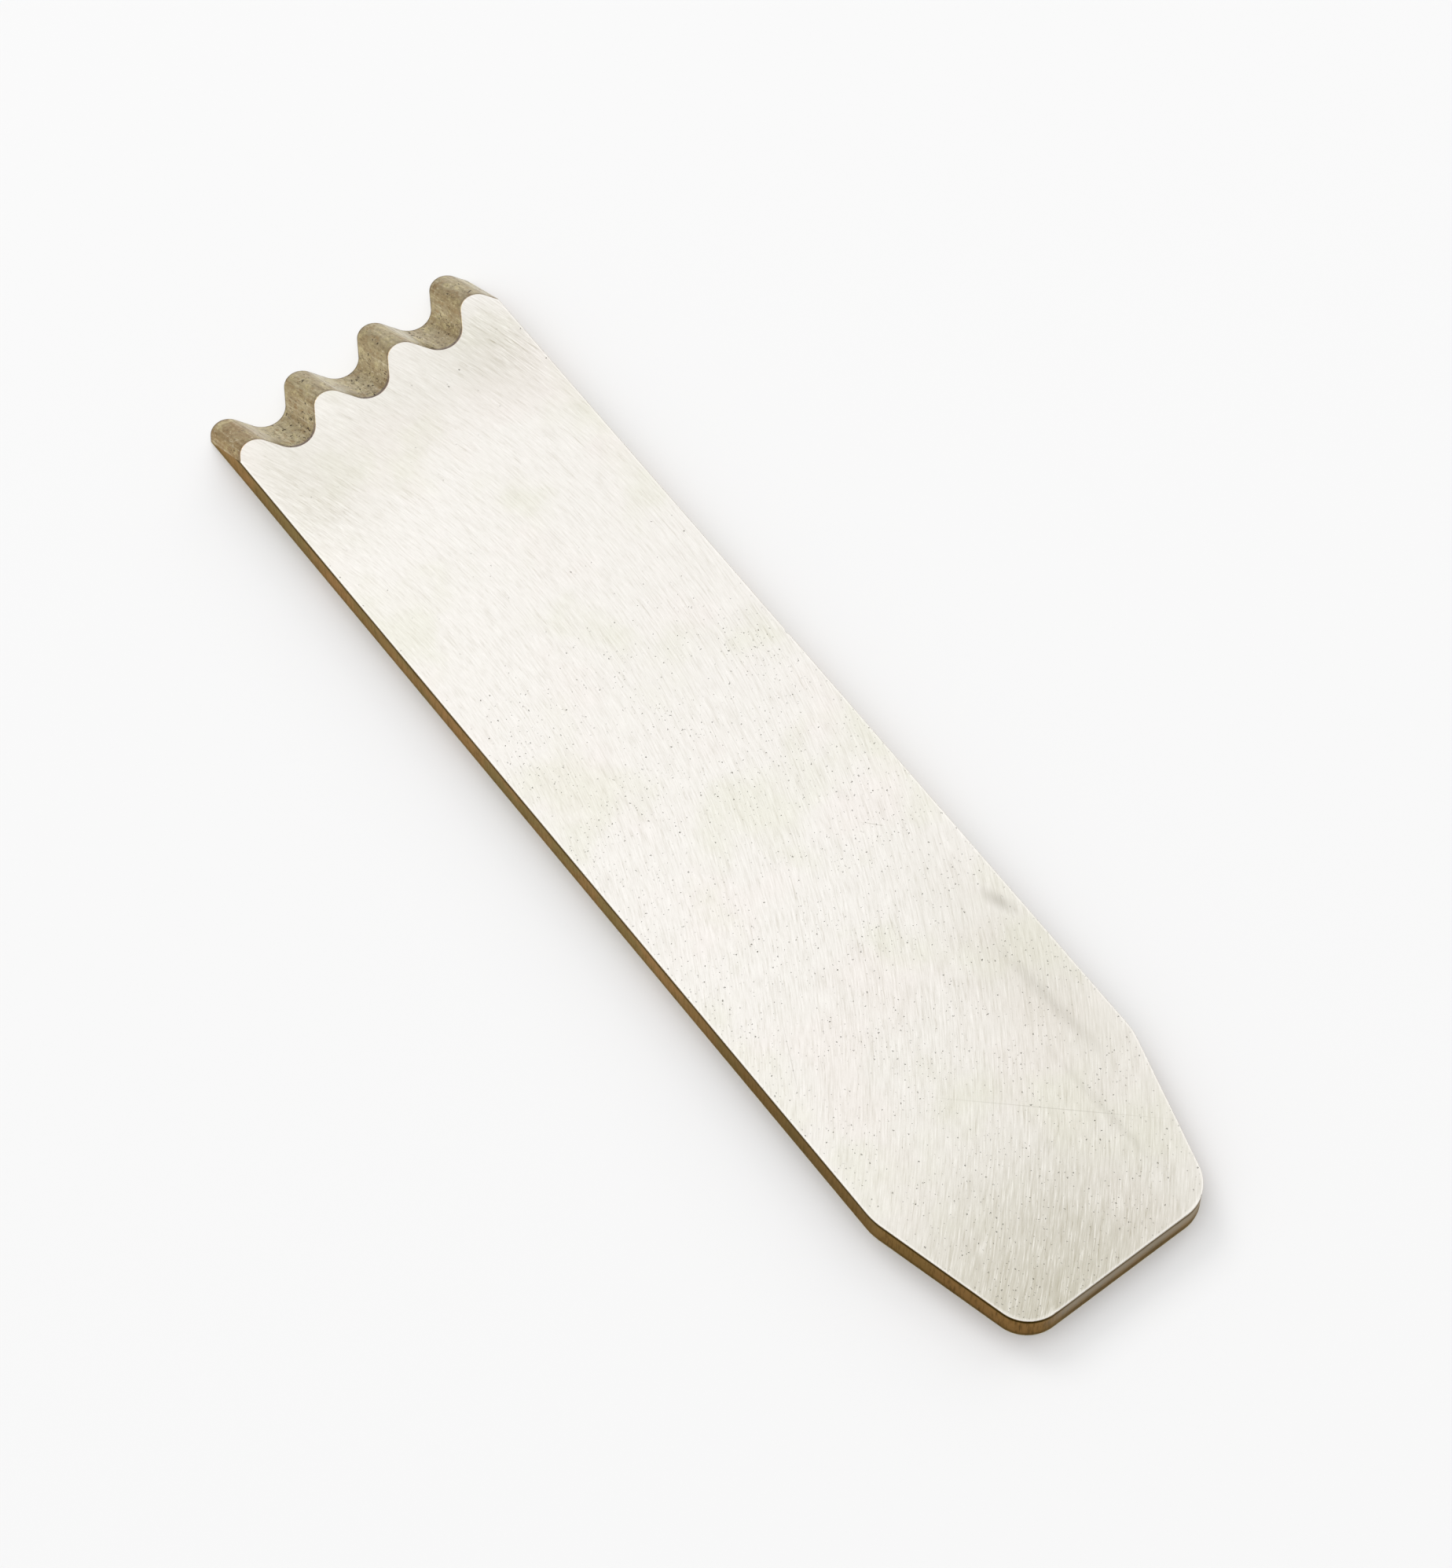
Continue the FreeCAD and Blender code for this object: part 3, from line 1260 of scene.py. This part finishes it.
    def tooth_row(self) -> list[Stop]:
        """Stops along the teeth, right to left, cut off by the long sides.

        Returns:
            The stops, with a corner at each end.
        """
        back = Vector((0.0, -self.bevel_run))
        turn = self.flank_angle
        count = math.ceil(2 * turn / self.arc_step)
        turns = [math.radians(turn - 2 * turn * step / count) for step in range(count + 1)]
        crest_y = self.high.y - self.tooth_tip_radius
        root_y = self.high.y - self.tooth_depth + self.valley_radius
        middle = (self.tooth_count - 1) / 2
        points: list[tuple[Vector, Vector]] = []
        for tooth in reversed(range(self.tooth_count)):
            crest_x = self.tooth_offset + (tooth - middle) * self.pitch
            for angle in turns:
                out = Vector((math.sin(angle), math.cos(angle)))
                points.append((Vector((crest_x, crest_y)) + out * self.tooth_tip_radius, out))
            if tooth:
                root = Vector((crest_x - self.pitch / 2, root_y))
                for angle in turns:
                    out = Vector((-math.sin(angle), math.cos(angle)))
                    points.append((root - out * self.valley_radius, out))
        slope = math.tan(math.radians(turn))
        cut = []
        for (place, out), x in ((points[0], self.high.x), (points[-1], self.low.x)):
            cut.append((Vector((x, place.y - abs(x - place.x) * slope)), out))
        right, left = cut
        across = Vector((1.0, 0.0))
        stops = [self.stop(right[0], right[0] + back, (across, right[1]), Side.TEETH)]
        for place, out in points:
            stops.append(self.stop(place, place + back, (out,), Side.TEETH))
        stops.append(self.stop(left[0], left[0] + back, (left[1], -across), Side.LEFT_EDGE))
        return stops

    def straight(
        self, begin: tuple[Vector, Vector], end: tuple[Vector, Vector], side: Side
    ) -> list[Stop]:
        """Stops between the ends of a straight wall, closer together at a nick.

        Args:
            begin: low and high place where the wall starts.
            end: low and high place where it ends.
            side: the side that it belongs to.

        Returns:
            The stops between the two ends.
        """
        run = end[1] - begin[1]
        count = round(run.length / self.straight_step)
        shares = {step / count for step in range(1, count)}
        for nick in self.nicks:
            offset = Vector(nick.centre) - begin[1]
            middle = offset.dot(run) / run.length_squared
            off_line = (offset - run * middle).length
            if off_line < nick.half_width and 0.0 < middle < 1.0:
                reach = nick.half_width / run.length
                fan = range(-self.nick_steps, self.nick_steps + 1)
                shares.update(middle + reach * step / self.nick_steps for step in fan)
        out = Vector((run.y, -run.x)).normalized()
        stops = []
        for share in sorted(one for one in shares if 0.0 < one < 1.0):
            low = begin[0].lerp(end[0], share)
            high = begin[1].lerp(end[1], share)
            stops.append(self.stop(low, high, (out,), side))
        return stops

    def rounded(
        self, corner: Vector, before: Vector, after: Vector, radius: float, side: Side
    ) -> list[Stop]:
        """Stops round a corner of the bar.

        Args:
            corner: where the two walls would meet.
            before: direction of travel on the way in.
            after: direction of travel on the way out.
            radius: the corner's radius.
            side: the side that the round and the wall after it belong to.

        Returns:
            The stops, from one tangent point to the other.
        """
        turned = before.angle(after)
        setback = radius * math.tan(turned / 2)
        out = Vector((before.y, -before.x))
        centre = corner - before * setback - out * radius
        count = round(math.degrees(turned) / self.arc_step) * 2
        stops = []
        for step in range(count + 1):
            angle = turned * step / count
            way = out * math.cos(angle) + before * math.sin(angle)
            place = centre + way * radius
            stops.append(self.stop(place, place, (way,), side))
        return stops

    def outline(self) -> list[Stop]:
        """Stops all round, anticlockwise seen from above.

        Returns:
            The stops, starting at the right tooth corner.
        """
        stops = self.tooth_row()
        half_end = self.grip_end_width / 2
        taper = math.radians(self.taper_angle)
        shoulder_y = self.low.y + (self.half_width - half_end) / math.tan(taper)
        down = Vector((0.0, -1.0))
        inward = Vector((math.sin(taper), -math.cos(taper)))
        right = Vector((1.0, 0.0))
        outward = Vector((math.sin(taper), math.cos(taper)))
        rounds = (
            (Vector((self.low.x, shoulder_y)), down, inward, self.shoulder_radius, Side.LEFT_EDGE),
            (Vector((-half_end, self.low.y)), inward, right, self.grip_corner_radius, Side.BLUNT_EDGE),
            (Vector((half_end, self.low.y)), right, outward, self.grip_corner_radius, Side.BLUNT_EDGE),
            (Vector((self.high.x, shoulder_y)), outward, -down, self.shoulder_radius, Side.RIGHT_EDGE),
        )
        first = stops[0]
        for corner, before, after, radius, side in rounds:
            turn = self.rounded(corner, before, after, radius, side)
            last = stops[-1]
            stops += self.straight((last.low, last.high), (turn[0].low, turn[0].high), last.side)
            stops += turn
            if side is Side.BLUNT_EDGE and before is right:
                stops[-1] = self.stop(turn[-1].low, turn[-1].high, turn[-1].ways_out, Side.RIGHT_EDGE)
        last = stops[-1]
        stops += self.straight((last.low, last.high), (first.low, first.high), Side.RIGHT_EDGE)
        return stops

    def profile(self, stop: Stop) -> list[tuple[float, float]]:
        """Section of the wall at a stop.

        Args:
            stop: the stop.

        Returns:
            Height and inset of every ring, from the lower face's border to the upper's.
        """
        quarter = [math.pi / 2 * step / self.arris_steps for step in range(self.arris_steps + 1)]
        arris = [(1 - math.cos(angle), 1 - math.sin(angle)) for angle in quarter]
        lower = [(stop.low_break * up, stop.low_break * inset) for up, inset in arris]
        upper = [(self.thickness - stop.high_break * up, stop.high_break * inset) for up, inset in arris]
        foot = lower[-1][0]
        head = upper[-1][0]
        shares = [step / self.wall_steps for step in range(1, self.wall_steps)]
        wall = [(foot + (head - foot) * share, self.ripple(stop, share)) for share in shares]
        return lower + wall + upper[::-1]

    def ripple(self, stop: Stop, share: float) -> float:
        """Slight hollows left in a wall by hand grinding.

        Args:
            stop: the stop.
            share: height, as a share of the wall.

        Returns:
            The depth, none at the arrises.
        """
        if stop.side is Side.TEETH or len(stop.ways_out) > 1:
            return 0.0
        travelled = (stop.low.x + stop.low.y) * PER_MM
        wave = sum(1.0 + math.sin(travelled * rate + start) for rate, start in self.ripple_waves)
        return self.edge_ripple * wave * math.sin(math.pi * share)

    def rings(self, stops: Sequence[Stop]) -> list[list[Vector]]:
        """Points of every ring round the blade, lowest first.

        Args:
            stops: the outline.

        Returns:
            One list of points for each ring.
        """
        columns = []
        for stop in stops:
            column = []
            for height, inset in self.profile(stop):
                share = height / self.thickness
                place = stop.at_height(share, inset)
                for nick in self.nicks:
                    place += stop.inward(nick.cut(place, self.thickness - height))
                column.append(Vector((place.x, place.y, self.low.z + height)))
            columns.append(column)
        return [list(ring) for ring in zip(*columns)]

    def build(self, finishes: Sequence[bpy.types.Material]) -> bpy.types.Object:
        """Build the blade as one closed mesh.

        Args:
            finishes: materials of the upper face, the edges, the bevel and the lower face.

        Returns:
            The object, dressed and unwrapped.
        """
        stops = self.outline()
        rings = self.rings(stops)
        sheet = BakeSheet(self, stops, rings)
        count = len(stops)
        corners = [point for ring in rings for point in ring]
        faces: list[tuple[int, ...]] = [tuple(reversed(range(count)))]
        slots = [Slot.LOWER_FACE]
        spots = [sheet.face_spots(Side.LOWER_FACE, reversed(rings[0]))]
        for level in range(len(rings) - 1):
            for start, stop in enumerate(stops):
                end = (start + 1) % count
                low = level * count
                high = low + count
                faces.append((low + start, low + end, high + end, high + start))
                slots.append(Slot.BEVEL if stop.side is Side.TEETH else Slot.EDGE)
                spots.append(sheet.wall_spots(start, level))
        top = (len(rings) - 1) * count
        faces.append(tuple(range(top, top + count)))
        slots.append(Slot.UPPER_FACE)
        spots.append(sheet.face_spots(Side.UPPER_FACE, rings[-1]))
        mesh = bpy.data.meshes.new("toothed_blade_steel")
        mesh.from_pydata(corners, [], faces)
        mesh.materials.clear()
        for finish in finishes:
            mesh.materials.append(finish)
        unwrapped = mesh.uv_layers.new(name="OFBake")
        flat = [spot for face in spots for spot in face]
        for loop, spot in zip(unwrapped.data, flat):
            loop.uv = spot
        for polygon, slot in zip(mesh.polygons, slots):
            polygon.material_index = slot.value
            polygon.use_smooth = True
        mesh.set_sharp_from_angle(angle=math.radians(self.crease_angle))
        mesh.validate()
        return self.seat(bpy.data.objects.new("toothed_blade_steel", mesh))

    def seat(self, piece: bpy.types.Object) -> bpy.types.Object:
        """Give the piece its place in the frame, and normals led by its large faces.

        Args:
            piece: the blade's object.

        Returns:
            The same object.
        """
        bpy.context.scene.collection.objects.link(piece)
        evener = piece.modifiers.new("even_normals", "WEIGHTED_NORMAL")
        evener.keep_sharp = True
        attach(piece, BODY)
        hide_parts(NODE)
        return piece


class BakeSheet:
    """Lays the blade's sides out on the unit square, one row each.

    Attributes:
        gap: space between two rows, in metres.
    """

    gap: float = 1.0 * MM

    def __init__(
        self, blade: ToothedBlade, stops: Sequence[Stop], rings: Sequence[Sequence[Vector]]
    ) -> None:
        """Measure every side.

        Args:
            blade: the blade that is laid out.
            stops: its outline.
            rings: its rings, lowest first.
        """
        self.blade = blade
        self.stops = stops
        lengths = [(stops[(i + 1) % len(stops)].low - stop.low).length for i, stop in enumerate(stops)]
        self.reached: list[Plan] = []
        travelled = 0.0
        side = stops[0].side
        for stop, length in zip(stops, lengths):
            if stop.side is not side:
                side = stop.side
                travelled = 0.0
            self.reached.append((travelled, travelled + length))
            travelled += length
        self.climbed = [0.0]
        middle = len(stops) // 2
        for below, above in zip(rings, rings[1:]):
            self.climbed.append(self.climbed[-1] + (above[middle] - below[middle]).length)
        slope = math.hypot(blade.bevel_run, blade.thickness) / self.climbed[-1]
        width = 2 * blade.half_width
        wall = self.climbed[-1]
        self.stretch = {side: slope if side is Side.TEETH else 1.0 for side in Side}
        heights = {side: wall * self.stretch[side] for side in Side}
        heights[Side.LOWER_FACE] = width
        heights[Side.UPPER_FACE] = width
        self.rows: dict[Side, float] = {}
        level = self.gap
        for side in Side:
            self.rows[side] = level
            level += heights[side] + self.gap
        self.height = level
        self.width = blade.high.y - blade.low.y + 2 * self.gap

    def spot(self, along: float, up: float) -> Plan:
        """Scale a place on the sheet to the unit square."""
        return ((along + self.gap) / self.width, up / self.height)

    def face_spots(self, side: Side, ring: Sequence[Vector]) -> list[Plan]:
        """Places of a face's corners.

        Args:
            side: which face.
            ring: its corners in order.

        Returns:
            A place for each corner.
        """
        turned = -1.0 if side is Side.LOWER_FACE else 1.0
        middle = self.rows[side] + self.blade.half_width
        return [self.spot(point.y - self.blade.low.y, middle + turned * point.x) for point in ring]

    def wall_spots(self, start: int, level: int) -> list[Plan]:
        """Places of the four corners of a wall patch.

        Args:
            start: the stop that it starts from.
            level: the ring below it.

        Returns:
            A place for each corner.
        """
        side = self.stops[start].side
        begin, end = self.reached[start]
        low = self.rows[side] + self.climbed[level] * self.stretch[side]
        high = self.rows[side] + self.climbed[level + 1] * self.stretch[side]
        return [self.spot(begin, low), self.spot(end, low), self.spot(end, high), self.spot(begin, high)]


def heading(azimuth: float, elevation: float) -> Vector:
    """Point in a direction.

    Args:
        azimuth: turn from along the blade towards its right, in degrees.
        elevation: turn up from level, in degrees.

    Returns:
        The unit vector.
    """
    turn = math.radians(azimuth)
    lift = math.radians(elevation)
    flat = math.cos(lift)
    return Vector((flat * math.sin(turn), flat * math.cos(turn), math.sin(lift)))


@dataclass(frozen=True)
class SoftBox:
    """Large soft studio light.

    Attributes:
        name: the light's name.
        direction: azimuth and elevation that it shines from, in degrees.
        distance: from the middle of the blade, in metres.
        size: length of its square side, in metres.
        power: in watts.
    """

    name: str
    direction: Plan
    distance: float
    size: float
    power: float

    def place(self, target: Vector) -> None:
        """Hang the light.

        Args:
            target: what it faces.
        """
        way = heading(*self.direction)
        lamp = bpy.data.lights.new(self.name, "AREA")
        lamp.size = self.size
        lamp.energy = self.power
        light = bpy.data.objects.new(self.name, lamp)
        light.location = target + way * self.distance
        light.rotation_euler = way.to_track_quat("Z", "Y").to_euler()
        bpy.context.scene.collection.objects.link(light)


@dataclass(frozen=True)
class Studio:
    """Pale floor, even surroundings and soft boxes.

    Attributes:
        floor_size: side of the square floor, in metres.
        floor_colour: the floor's paint.
        overhead: light from above, as a multiple of white.
        horizon: light from the sides, as a multiple of white.
        boxes: the soft boxes.
        floor_roughness: roughness of the paint.
        floor_gloss: specular level of the paint.
        dimming: heights of looking, from 0 level to 1 up, where the overhead light starts and is full.
    """

    floor_size: float
    floor_colour: Colour
    overhead: float
    horizon: float
    boxes: tuple[SoftBox, ...]
    floor_roughness: float = 0.9
    floor_gloss: float = 0.1
    dimming: Pair = (0.4, 1.0)

    def build(self, level: float, target: Vector) -> bpy.types.Object:
        """Lay the floor and hang the lights.

        Args:
            level: height that the blade rests on.
            target: what the lights face.

        Returns:
            The floor.
        """
        reach = self.floor_size / 2
        signs = ((-1, -1), (1, -1), (1, 1), (-1, 1))
        corners = [(reach * x, reach * y, level) for x, y in signs]
        mesh = bpy.data.meshes.new("studio_floor")
        mesh.from_pydata(corners, [], [(0, 1, 2, 3)])
        mesh.materials.append(self.paint())
        floor = bpy.data.objects.new("studio_floor", mesh)
        bpy.context.scene.collection.objects.link(floor)
        for box in self.boxes:
            box.place(target)
        self.surround()
        bpy.context.scene.view_settings.view_transform = "Standard"
        return floor

    def paint(self) -> bpy.types.Material:
        """Matt floor paint.

        Returns:
            The material.
        """
        material, graph = new_graph("studio_paint")
        sockets = {
            "Base Color": self.floor_colour,
            "Roughness": self.floor_roughness,
            "Specular IOR Level": self.floor_gloss,
        }
        shader = graph.add("ShaderNodeBsdfPrincipled", None, sockets)
        graph.add("ShaderNodeOutputMaterial", None, {"Surface": graph.read(shader, "BSDF")})
        return material

    def surround(self) -> None:
        """White surroundings, dimmer towards the horizon."""
        world = bpy.data.worlds.new("studio_surround")
        world.use_nodes = True
        bpy.context.scene.world = world
        graph = NodeGraph(world.node_tree)
        _, _, up = graph.parts(graph.read(graph.add("ShaderNodeTexCoord"), "Generated"))
        strength = more(self.horizon, self.overhead - self.horizon, graph.rise(up, *self.dimming))
        shine = graph.add("ShaderNodeBackground", None, {"Color": WHITE, "Strength": strength})
        graph.add("ShaderNodeOutputWorld", None, {"Surface": graph.read(shine, "Background")})


@dataclass(frozen=True)
class Viewpoint:
    """Camera that looks down on the blade from its blunt end.

    Attributes:
        aim: the point in the middle of the picture, in metres.
        azimuth: direction of looking, in degrees from along the blade.
        elevation: how far above level it stands, in degrees.
        distance: from the aim, in metres.
        lens: focal length, in millimetres.
        sensor: width of the sensor, in millimetres.
        nearest: distance from which things show, in metres.
    """

    aim: Vector
    azimuth: float
    elevation: float
    distance: float
    lens: float
    sensor: float = 36.0
    nearest: float = 0.01

    def place(self) -> bpy.types.Object:
        """Set the camera up and make it the scene's own.

        Returns:
            The camera.
        """
        back = -heading(self.azimuth, -self.elevation)
        optics = bpy.data.cameras.new("studio_camera")
        optics.sensor_fit = "HORIZONTAL"
        optics.sensor_width = self.sensor
        optics.lens = self.lens
        optics.clip_start = self.nearest
        camera = bpy.data.objects.new("studio_camera", optics)
        camera.location = self.aim + back * self.distance
        camera.rotation_euler = back.to_track_quat("Z", "Y").to_euler()
        bpy.context.scene.collection.objects.link(camera)
        bpy.context.scene.camera = camera
        return camera


def upper_face(border: Border) -> GroundFace:
    """Finish of the face that lies up.

    Args:
        border: the face's border.

    Returns:
        The finish.
    """
    return GroundFace(
        name="ground_upper_face",
        border=border,
        grind_centre=(-69.0, 19.9),
        streaky=(
            Mark((11.0, 41.0), (12.0, 5.0), 110.0, 0.9),
            Mark((-11.0, 38.0), (11.0, 5.5), 110.0, 0.5),
            Mark((0.0, 45.0), (15.0, 7.0), 0.0, 0.2),
            Mark((-3.0, -49.0), (22.0, 18.0), 0.0, 0.8),
            Mark((0.0, -22.0), (14.0, 30.0), 0.0, 0.35),
        ),
        pitted=(
            Mark((-9.5, 11.5), (4.5, 3.0), 110.0, 0.35),
            Mark((-1.0, 11.0), (3.0, 2.0), 90.0, 0.25),
            Mark((9.5, 8.0), (7.0, 2.5), 105.0, 0.45),
        ),
        # Painted shade towards both ends of the face and beside the teeth.
        end_shade_and_tint=(
            Mark((-9.0, -54.0), (25.0, 22.0), 12.0, 0.85),
            Mark((0.0, -44.0), (30.0, 36.0), 0.0, 0.30),
            Mark((9.5, -29.0), (22.0, 7.0), 92.0, 0.30),
            Mark((-10.0, 40.5), (12.0, 6.5), 105.0, 0.32),
            Mark((9.5, 40.5), (9.0, 6.0), 110.0, 0.35),
            Mark((0.0, 42.0), (16.0, 9.0), 0.0, 0.28),
        ),
        smudged=(
            Mark((11.3, -22.0), (2.4, 0.9), 108.0, 0.5),
            Mark((9.2, -31.0), (9.0, 0.9), 94.0, 0.25),
            Mark((6.8, -40.0), (10.0, 0.6), 92.0, 0.18),
        ),
        scratched=(
            Mark((3.8, -38.0), (13.0, 0.07), -43.2, 0.30),
            Mark((7.7, -11.0), (1.3, 0.06), -47.0, 0.4),
            Mark((-9.6, -22.8), (4.4, 0.07), 64.0, 0.3),
        ),
    )


def lower_face(border: Border) -> GroundFace:
    """Finish of the face that the blade rests on.

    Args:
        border: the face's border.

    Returns:
        The finish.
    """
    return GroundFace(
        name="ground_lower_face",
        border=border,
        grind_centre=(84.0, -9.0),
        streaky=(Mark((-10.0, 36.0), (14.0, 6.0), 80.0, 0.8), Mark((6.0, -42.0), (16.0, 10.0), 20.0, 0.6)),
        pitted=(Mark((5.0, 14.0), (6.0, 3.0), 80.0, 0.3), Mark((-6.0, -18.0), (7.0, 3.0), 100.0, 0.3)),
        # Painted shade towards both ends of the face.
        end_shade_and_tint=(Mark((0.0, -52.0), (26.0, 16.0), 0.0, 0.8), Mark((4.0, 50.0), (20.0, 9.0), 0.0, 0.7)),
        smudged=(Mark((-7.0, 4.0), (12.0, 1.0), 88.0, 0.2), Mark((3.0, 27.0), (6.0, 0.8), 96.0, 0.2)),
        scratched=(Mark((-3.0, -30.0), (9.0, 0.06), 35.0, 0.35), Mark((5.0, 6.0), (5.0, 0.06), -60.0, 0.3)),
    )


def build_blade() -> bpy.types.Object:
    """Make the blade and its finishes.

    Returns:
        The blade's object.
    """
    low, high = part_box(NODE)
    nicks = (
        Nick((high.x, 6.34 * MM), half_width=0.30 * MM, depth=0.10 * MM, height=0.50 * MM),
        Nick((-7.5 * MM, low.y + 1.1 * MM), half_width=0.30 * MM, depth=0.07 * MM, height=0.35 * MM),
        Nick((-6.4 * MM, low.y + 0.2 * MM), half_width=0.25 * MM, depth=0.06 * MM, height=0.30 * MM),
    )
    blade = ToothedBlade(low, high, nicks)
    thickness = blade.thickness * PER_MM
    border = Border(
        half_width=blade.half_width * PER_MM,
        half_end=blade.grip_end_width / 2 * PER_MM,
        end_y=low.y * PER_MM,
        taper=math.radians(blade.taper_angle),
    )
    bevel = ToothBevel(
        name="ground_bevel",
        thickness=thickness,
        run=blade.bevel_run * PER_MM,
        tip_y=high.y * PER_MM,
        depth=blade.tooth_depth * PER_MM,
        pitch=blade.pitch * PER_MM,
        crest_x=(blade.tooth_offset + blade.pitch / 2) * PER_MM,
        scratched=(
            Mark((-11.9, 47.6), (0.5, 0.05), 100.0, 0.6),
            Mark((-11.6, 47.3), (0.4, 0.05), 150.0, 0.6),
            Mark((-12.1, 47.1), (0.4, 0.05), 60.0, 0.5),
        ),
        slits=(Mark((11.4, 46.8), (0.42, 0.12), 20.0, 1.0),),
    )
    finishes = (
        upper_face(border).material(),
        TarnishedEdge("tarnished_edge", thickness, low.y * PER_MM).material(),
        bevel.material(),
        lower_face(border).material(),
    )
    return blade.build(finishes)


def main() -> None:
    """Build the blade, the studio and the camera, in that order."""
    logging.basicConfig(level=logging.INFO, format="%(name)s: %(message)s")
    piece = build_blade()
    log.info("%s: %d points, %d faces", piece.name, len(piece.data.vertices), len(piece.data.polygons))
    low, high = cad_box
    studio = Studio(
        floor_size=3.0,
        floor_colour=tint("ECECEC"),
        overhead=1.56,
        horizon=0.38,
        boxes=(
            SoftBox("soft_box_behind", direction=(0.0, 42.0), distance=2.0, size=0.78, power=7.2),
            SoftBox("soft_box_right", direction=(82.0, 30.0), distance=2.0, size=1.1, power=4.6),
        ),
    )
    floor = studio.build(low.z, (low + high) / 2)
    log.info("%s: %.1f m across", floor.name, studio.floor_size)
    aim = Vector((1.636 * MM, -0.102 * MM, low.z))
    viewpoint = Viewpoint(aim, azimuth=37.66, elevation=64.86, distance=0.42836, lens=135.0)
    camera = viewpoint.place()
    log.info("%s: %.0f mm lens", camera.name, camera.data.lens)


if __name__ == "__main__":
    main()
